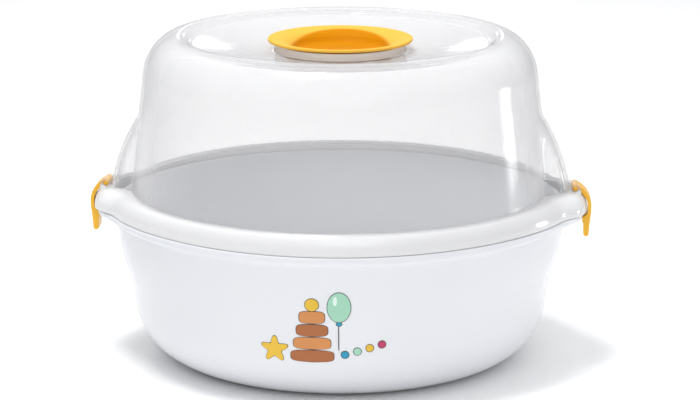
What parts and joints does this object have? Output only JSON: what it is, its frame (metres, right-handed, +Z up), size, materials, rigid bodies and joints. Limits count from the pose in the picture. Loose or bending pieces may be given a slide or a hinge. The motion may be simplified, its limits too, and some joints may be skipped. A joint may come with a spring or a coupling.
{
  "type": "bottle sterilizer",
  "caption": "Round steam sterilizer for baby bottles: white tub with ears, clear domed lid with a yellow disc handle, yellow side clips and a lift-out rack.",
  "frame": {"origin": "on the table, under the middle of the tub", "axes": "+Z up, +X towards the right ear and clip, -Y towards the decorated front"},
  "size_m": [0.2834, 0.2468, 0.1834],
  "materials": {
    "tub_white": "glossy moulded polypropylene, opaque cool white",
    "rack_white": "satin moulded polypropylene",
    "lid_clear": "clear glossy moulded polypropylene, faintly milky",
    "neck_frosted": "frosted translucent plastic",
    "handle_yellow": "semi-gloss warm yellow moulded plastic",
    "clip_yellow": "semi-gloss warm yellow moulded plastic"
  },
  "bodies": {
    "tub": {"base_bowl": "tub_white"},
    "rack": {"bottle_rack": "rack_white"},
    "lid": {"lid_dome": "lid_clear", "handle_collar": "neck_frosted", "handle_disc": "handle_yellow"},
    "clip_right": {"right_clip": "clip_yellow"},
    "clip_left": {"left_clip": "clip_yellow"}
  },
  "joints": [
    {"name": "lid_lift", "type": "slide", "parent": "tub", "child": "lid", "axis": [0, 0, 1], "range_m": [0, 0.16]},
    {"name": "rack_lift", "type": "slide", "parent": "tub", "child": "rack", "axis": [0, 0, 1], "range_m": [0, 0.08]},
    {"name": "clip_right_hinge", "type": "hinge", "parent": "lid", "child": "clip_right", "pos_m": [0.1324, 0, 0.098], "axis": [0, -1, 0], "range_deg": [0, 110]},
    {"name": "clip_left_hinge", "type": "hinge", "parent": "lid", "child": "clip_left", "pos_m": [-0.1324, 0, 0.098], "axis": [0, 1, 0], "range_deg": [0, 110]}
  ]
}
